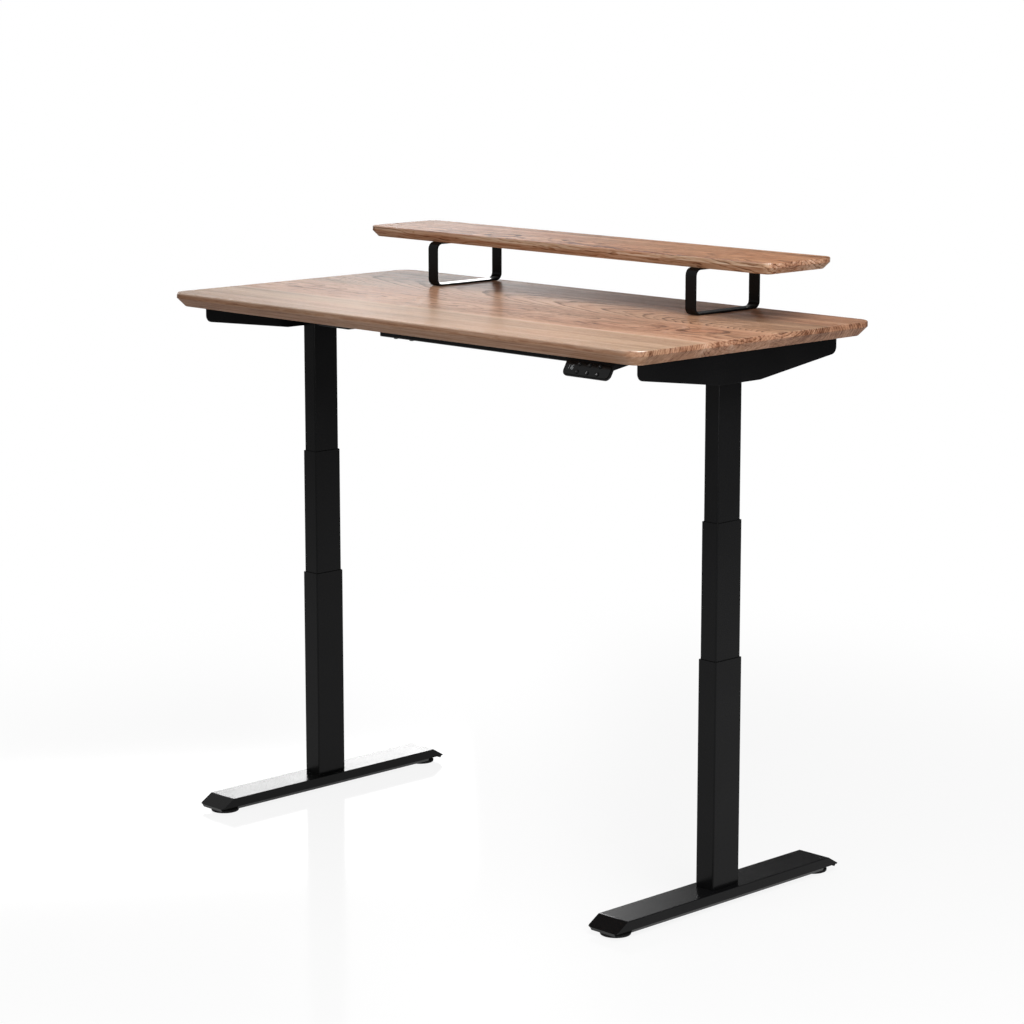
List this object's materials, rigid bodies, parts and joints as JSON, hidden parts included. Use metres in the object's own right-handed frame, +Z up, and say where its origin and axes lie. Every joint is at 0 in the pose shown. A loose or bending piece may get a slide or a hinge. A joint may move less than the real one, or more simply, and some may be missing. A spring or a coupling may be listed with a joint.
{
  "type": "height-adjustable desk",
  "caption": "Sit-stand desk with a wood top and raised wood shelf on motorised three-stage telescopic columns, steel feet with levelling glides and a handset under the front edge.",
  "frame": {"origin": "on the floor, midway between the columns, below the middle of the desktop", "axes": "+X along the desk to the right of someone at its front, -Y towards that person, +Z up"},
  "size_m": [1.4, 0.7, 1.2807],
  "materials": {
    "walnut": "oiled satin, straight grain along the length",
    "black_powder_coat": "fine matt powder coat",
    "black_plastic": "moulded satin",
    "gloss_black_panel": "polished",
    "display_lens": "polished smoked lens",
    "key_caps": "satin",
    "bright_steel": "machined",
    "nut_bronze": "machined",
    "guide_nylon": "moulded",
    "glide_rubber": "matt"
  },
  "bodies": {
    "left_leg": {"foot_left": "black_powder_coat", "foot_stiffener_left": "bright_steel", "lower_tube_left": "black_powder_coat", "column_base_left": "bright_steel", "fixed_screw_left": "bright_steel"},
    "middle_left": {"middle_tube_left": "black_powder_coat", "middle_shoe_left": "guide_nylon", "nut_tube_left": "bright_steel", "lift_nut_left": "nut_bronze"},
    "turning_sleeve_left": {"turning_sleeve_left": "bright_steel"},
    "drive_screw_left": {"drive_screw_left": "bright_steel"},
    "glide_left_front": {"glide_left_front": "glide_rubber"},
    "glide_left_rear": {"glide_left_rear": "glide_rubber"},
    "right_leg": {"foot_right": "black_powder_coat", "foot_stiffener_right": "bright_steel", "lower_tube_right": "black_powder_coat", "column_base_right": "bright_steel", "fixed_screw_right": "bright_steel"},
    "middle_right": {"middle_tube_right": "black_powder_coat", "middle_shoe_right": "guide_nylon", "nut_tube_right": "bright_steel", "lift_nut_right": "nut_bronze"},
    "turning_sleeve_right": {"turning_sleeve_right": "bright_steel"},
    "drive_screw_right": {"drive_screw_right": "bright_steel"},
    "glide_right_front": {"glide_right_front": "glide_rubber"},
    "glide_right_rear": {"glide_right_rear": "glide_rubber"},
    "top_frame": {"desktop": "walnut", "shelf": "walnut", "centre_beam": "black_powder_coat", "control_box": "black_plastic", "handset_case": "black_plastic", "handset_fascia": "gloss_black_panel", "handset_display": "display_lens", "shelf_loop_left": "black_powder_coat", "upper_tube_left": "black_powder_coat", "upper_shoe_left": "guide_nylon", "gearbox_left": "black_plastic", "head_plate_left": "black_powder_coat", "motor_cover_left": "black_plastic", "motor_left": "bright_steel", "side_bracket_left": "black_powder_coat", "shelf_loop_right": "black_powder_coat", "upper_tube_right": "black_powder_coat", "upper_shoe_right": "guide_nylon", "gearbox_right": "black_plastic", "head_plate_right": "black_powder_coat", "motor_cover_right": "black_plastic", "motor_right": "bright_steel", "side_bracket_right": "black_powder_coat", "rail_left_front": "black_powder_coat", "rail_left_rear": "black_powder_coat", "rail_right_front": "black_powder_coat", "rail_right_rear": "black_powder_coat"},
    "key_lower_1": {"key_lower_1": "key_caps"},
    "key_lower_2": {"key_lower_2": "key_caps"},
    "key_lower_3": {"key_lower_3": "key_caps"},
    "key_upper_1": {"key_upper_1": "key_caps"},
    "key_upper_2": {"key_upper_2": "key_caps"},
    "key_upper_3": {"key_upper_3": "key_caps"}
  },
  "joints": [
    {"name": "lift", "type": "slide", "parent": "left_leg", "child": "top_frame", "axis": [0, 0, 1], "range_m": [-0.55, 0.1]},
    {"name": "lift_right", "type": "slide", "parent": "top_frame", "child": "right_leg", "axis": [0, 0, -1], "range_m": [-0.55, 0.1]},
    {"name": "middle_left_slide", "type": "slide", "parent": "left_leg", "child": "middle_left", "axis": [0, 0, 1], "range_m": [-0.275, 0.05]},
    {"name": "turning_sleeve_left_spin", "type": "hinge", "parent": "middle_left", "child": "turning_sleeve_left", "pos_m": [-0.604, 0, 0.34], "axis": [0, 0, 1], "range_deg": [-8260, 1510]},
    {"name": "drive_screw_left_spin", "type": "hinge", "parent": "top_frame", "child": "drive_screw_left", "pos_m": [-0.604, 0, 1.06], "axis": [0, 0, 1], "range_deg": [-8260, 1510]},
    {"name": "glide_left_front_level", "type": "slide", "parent": "left_leg", "child": "glide_left_front", "axis": [0, 0, 1], "range_m": [-0.01, 0]},
    {"name": "glide_left_rear_level", "type": "slide", "parent": "left_leg", "child": "glide_left_rear", "axis": [0, 0, 1], "range_m": [-0.01, 0]},
    {"name": "middle_right_slide", "type": "slide", "parent": "right_leg", "child": "middle_right", "axis": [0, 0, 1], "range_m": [-0.275, 0.05]},
    {"name": "turning_sleeve_right_spin", "type": "hinge", "parent": "middle_right", "child": "turning_sleeve_right", "pos_m": [0.604, 0, 0.34], "axis": [0, 0, 1], "range_deg": [-8260, 1510]},
    {"name": "drive_screw_right_spin", "type": "hinge", "parent": "top_frame", "child": "drive_screw_right", "pos_m": [0.604, 0, 1.06], "axis": [0, 0, 1], "range_deg": [-8260, 1510]},
    {"name": "glide_right_front_level", "type": "slide", "parent": "right_leg", "child": "glide_right_front", "axis": [0, 0, 1], "range_m": [-0.01, 0]},
    {"name": "glide_right_rear_level", "type": "slide", "parent": "right_leg", "child": "glide_right_rear", "axis": [0, 0, 1], "range_m": [-0.01, 0]},
    {"name": "key_lower_1_press", "type": "slide", "parent": "top_frame", "child": "key_lower_1", "axis": [0, 0.8616, -0.5075], "range_m": [0, 0.0008], "stiffness_N_per_m": 1500, "springref_m": -0.0004},
    {"name": "key_lower_2_press", "type": "slide", "parent": "top_frame", "child": "key_lower_2", "axis": [0, 0.8616, -0.5075], "range_m": [0, 0.0008], "stiffness_N_per_m": 1500, "springref_m": -0.0004},
    {"name": "key_lower_3_press", "type": "slide", "parent": "top_frame", "child": "key_lower_3", "axis": [0, 0.8616, -0.5075], "range_m": [0, 0.0008], "stiffness_N_per_m": 1500, "springref_m": -0.0004},
    {"name": "key_upper_1_press", "type": "slide", "parent": "top_frame", "child": "key_upper_1", "axis": [0, 0.8616, -0.5075], "range_m": [0, 0.0008], "stiffness_N_per_m": 1500, "springref_m": -0.0004},
    {"name": "key_upper_2_press", "type": "slide", "parent": "top_frame", "child": "key_upper_2", "axis": [0, 0.8616, -0.5075], "range_m": [0, 0.0008], "stiffness_N_per_m": 1500, "springref_m": -0.0004},
    {"name": "key_upper_3_press", "type": "slide", "parent": "top_frame", "child": "key_upper_3", "axis": [0, 0.8616, -0.5075], "range_m": [0, 0.0008], "stiffness_N_per_m": 1500, "springref_m": -0.0004}
  ],
  "couplings": [
    {"joint": "lift_right", "follows": "lift", "ratio": 1},
    {"joint": "middle_left_slide", "follows": "lift", "ratio": 0.5},
    {"joint": "turning_sleeve_left_spin", "follows": "lift", "rad_per_m": 261.8},
    {"joint": "drive_screw_left_spin", "follows": "lift", "rad_per_m": 261.8},
    {"joint": "middle_right_slide", "follows": "lift", "ratio": 0.5},
    {"joint": "turning_sleeve_right_spin", "follows": "lift", "rad_per_m": 261.8},
    {"joint": "drive_screw_right_spin", "follows": "lift", "rad_per_m": 261.8}
  ]
}
